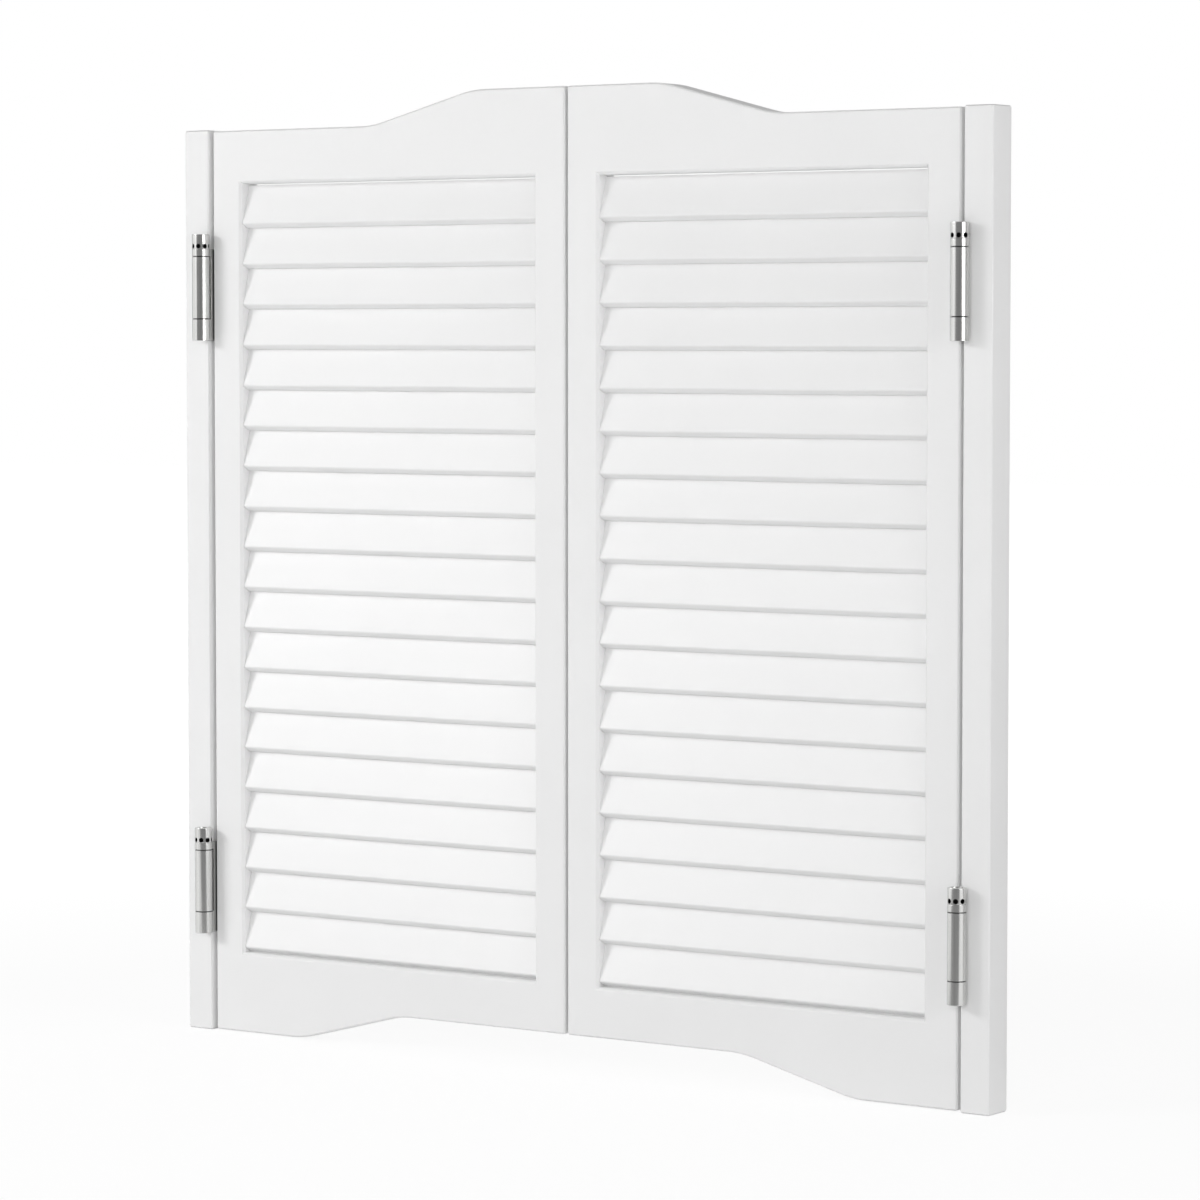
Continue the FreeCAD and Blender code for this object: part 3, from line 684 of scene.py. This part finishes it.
# ---- stage ---------------------------------------------------------------------------------------

FLOOR_SIZE = 30.0
FLOOR_COLOUR = (0.85, 0.85, 0.85)
FLOOR_GLOW = 1.05                 # how bright the floor's glow is to the camera
GLOW_SHARE = 0.84                 # near the object; the rest of the floor takes its shadow
SHADOW_REACH = (0.8, 2.4)         # from the middle to where the shadow starts to fade, and is gone
WHITE = 1.0                       # the background's brightness to the camera
AMBIENT = 0.36                    # daylight on the object from all round
BACKDROP = 1.0                    # daylight from behind, low down
BACKDROP_DEPTH = 0.5              # Y of a direction from which the backdrop is at its brightest
BACKDROP_RISE = (0.45, 0.15)      # Z of the directions where it starts, and is at its brightest
# The studio's brightness in the steel, at degrees from the front, positive to the right.
STUDIO_WALLS = (
    (-180, 0.50), (-115, 0.42), (-90, 1.0), (-26, 1.0), (-14, 0.27),
    (62, 0.25), (72, 1.0), (101, 1.0), (112, 0.35), (180, 0.50),
)


def studio_walls(graph, direction):
    """The studio's brightness in a direction, or at a place on the floor."""
    parts = graph.parts(direction)
    forward = graph.calc("MULTIPLY", parts["Y"], -1)
    azimuth = graph.calc("ARCTAN2", parts["X"], forward)
    turn = graph.remap(azimuth, start=-math.pi, end=math.pi)
    levels = [(degrees / 360 + 0.5, brightness) for degrees, brightness in STUDIO_WALLS]
    return graph.ramp(turn, levels, "EASE")


def make_floor():
    """A white floor that keeps a faint shadow of the object near it."""
    mesh = bpy.data.meshes.new("floor")
    half = FLOOR_SIZE / 2
    corners = [(-half, -half, 0), (half, -half, 0), (half, half, 0), (-half, half, 0)]
    mesh.from_pydata(corners, [], [(0, 1, 2, 3)])
    floor = add_object("floor", mesh)
    floor.location.z = CAD_BOX[0].z
    material, graph, shader = new_material("white_floor")
    shader.inputs["Base Color"].default_value = (*FLOOR_COLOUR, 1)
    shader.inputs["Roughness"].default_value = 1.0
    shader.inputs["Specular IOR Level"].default_value = 0.0
    rays = graph.add("LightPath").outputs
    place = graph.place()
    glow = graph.add("Emission")
    walls = studio_walls(graph, place)
    brightness = graph.remap(rays["Is Glossy Ray"], low=FLOOR_GLOW, high=walls)
    graph.link(brightness, glow.inputs["Strength"])
    seen = rays["Is Camera Ray"]
    for ray in ("Is Glossy Ray", "Is Transmission Ray"):
        seen = graph.calc("MAXIMUM", seen, rays[ray])
    distance = graph.add("VectorMath", operation="LENGTH")
    graph.link(place, distance.inputs[0])
    near, far = SHADOW_REACH
    share = graph.remap(distance.outputs["Value"], low=GLOW_SHARE, start=near, end=far)
    mix = graph.add("MixShader")
    graph.link(graph.calc("MULTIPLY", seen, share), mix.inputs["Fac"])
    graph.link(shader.outputs["BSDF"], mix.inputs[1])
    graph.link(glow.outputs["Emission"], mix.inputs[2])
    graph.link(mix.outputs["Shader"], graph.nodes["Material Output"].inputs["Surface"])
    dress(floor, material)


def make_world():
    """White to the camera, daylight on the object, and a studio's walls in the steel."""
    world = bpy.data.worlds.new("studio")
    graph = Graph(world)
    background = graph.nodes["Background"]
    background.inputs["Color"].default_value = (1, 1, 1, 1)
    rays = graph.add("LightPath").outputs
    direction = graph.place("Generated")
    parts = graph.parts(direction)
    behind = graph.remap(parts["Y"], end=BACKDROP_DEPTH)
    high, low = BACKDROP_RISE
    near_ground = graph.remap(parts["Z"], start=high, end=low)
    backdrop = graph.calc("MULTIPLY", behind, near_ground)
    daylight = graph.remap(backdrop, low=AMBIENT, high=BACKDROP)
    walls = studio_walls(graph, direction)
    light = graph.remap(rays["Is Glossy Ray"], low=daylight, high=walls)
    seen = graph.calc("MAXIMUM", rays["Is Camera Ray"], rays["Is Transmission Ray"])
    graph.link(graph.remap(seen, low=light, high=WHITE), background.inputs["Strength"])
    bpy.context.scene.world = world


def add_softbox(name, place, target, size, power, in_gloss=True):
    """A square lamp of a power in watts, turned to a target, that gloss shows or doesn't."""
    light = bpy.data.lights.new(name, "AREA")
    light.shape = "SQUARE"
    light.size = size
    light.energy = power
    lamp = add_object(name, light)
    lamp.location = place
    lamp.rotation_euler = (Vector(target) - Vector(place)).to_track_quat("-Z", "Y").to_euler()
    lamp.visible_glossy = in_gloss


make_floor()
make_world()
add_softbox(
    "key", place=(-2.45, -2.8, 1.7), target=(-1.2, -1.4, -12.0), size=1.6, power=94,
)
add_softbox(
    "side_fill", place=(3.8, -0.9, 1.2), target=(1.9, -0.45, 0.5), size=1.6, power=32,
)
add_softbox(
    "front_fill", place=(2.2, -4.5, 1.2), target=(1.1, -2.25, -6.0), size=2.0, power=92,
    in_gloss=False,
)
add_softbox(
    "back_fill", place=(-0.8, 4.4, 0.6), target=(0.0, 0.0, 0.45), size=2.4, power=62,
    in_gloss=False,
)

# ---- camera --------------------------------------------------------------------------------------

PHOTO_SIZE = 1200
FOCAL_PIXELS = 4600
SENSOR = 36.0                     # in millimetres, as Blender's lens is
CAMERA_YAW = math.radians(35.05)
CAMERA_PITCH = math.radians(3.27)
CAMERA_DISTANCE = 4.267
CAMERA_TARGET = Vector((0.0291, 0.0, 0.4389))


def make_camera():
    """The photograph's view: from the front, a little to the right and above."""
    data = bpy.data.cameras.new("camera")
    data.sensor_width = SENSOR
    data.lens = FOCAL_PIXELS / PHOTO_SIZE * SENSOR
    camera = add_object("camera", data)
    back = Vector((
        math.sin(CAMERA_YAW) * math.cos(CAMERA_PITCH),
        -math.cos(CAMERA_YAW) * math.cos(CAMERA_PITCH),
        math.sin(CAMERA_PITCH),
    ))
    camera.location = CAMERA_TARGET + CAMERA_DISTANCE * back
    camera.rotation_euler = (-back).to_track_quat("-Z", "Y").to_euler()
    bpy.context.scene.camera = camera


make_camera()
bpy.context.scene.view_settings.view_transform = "Standard"
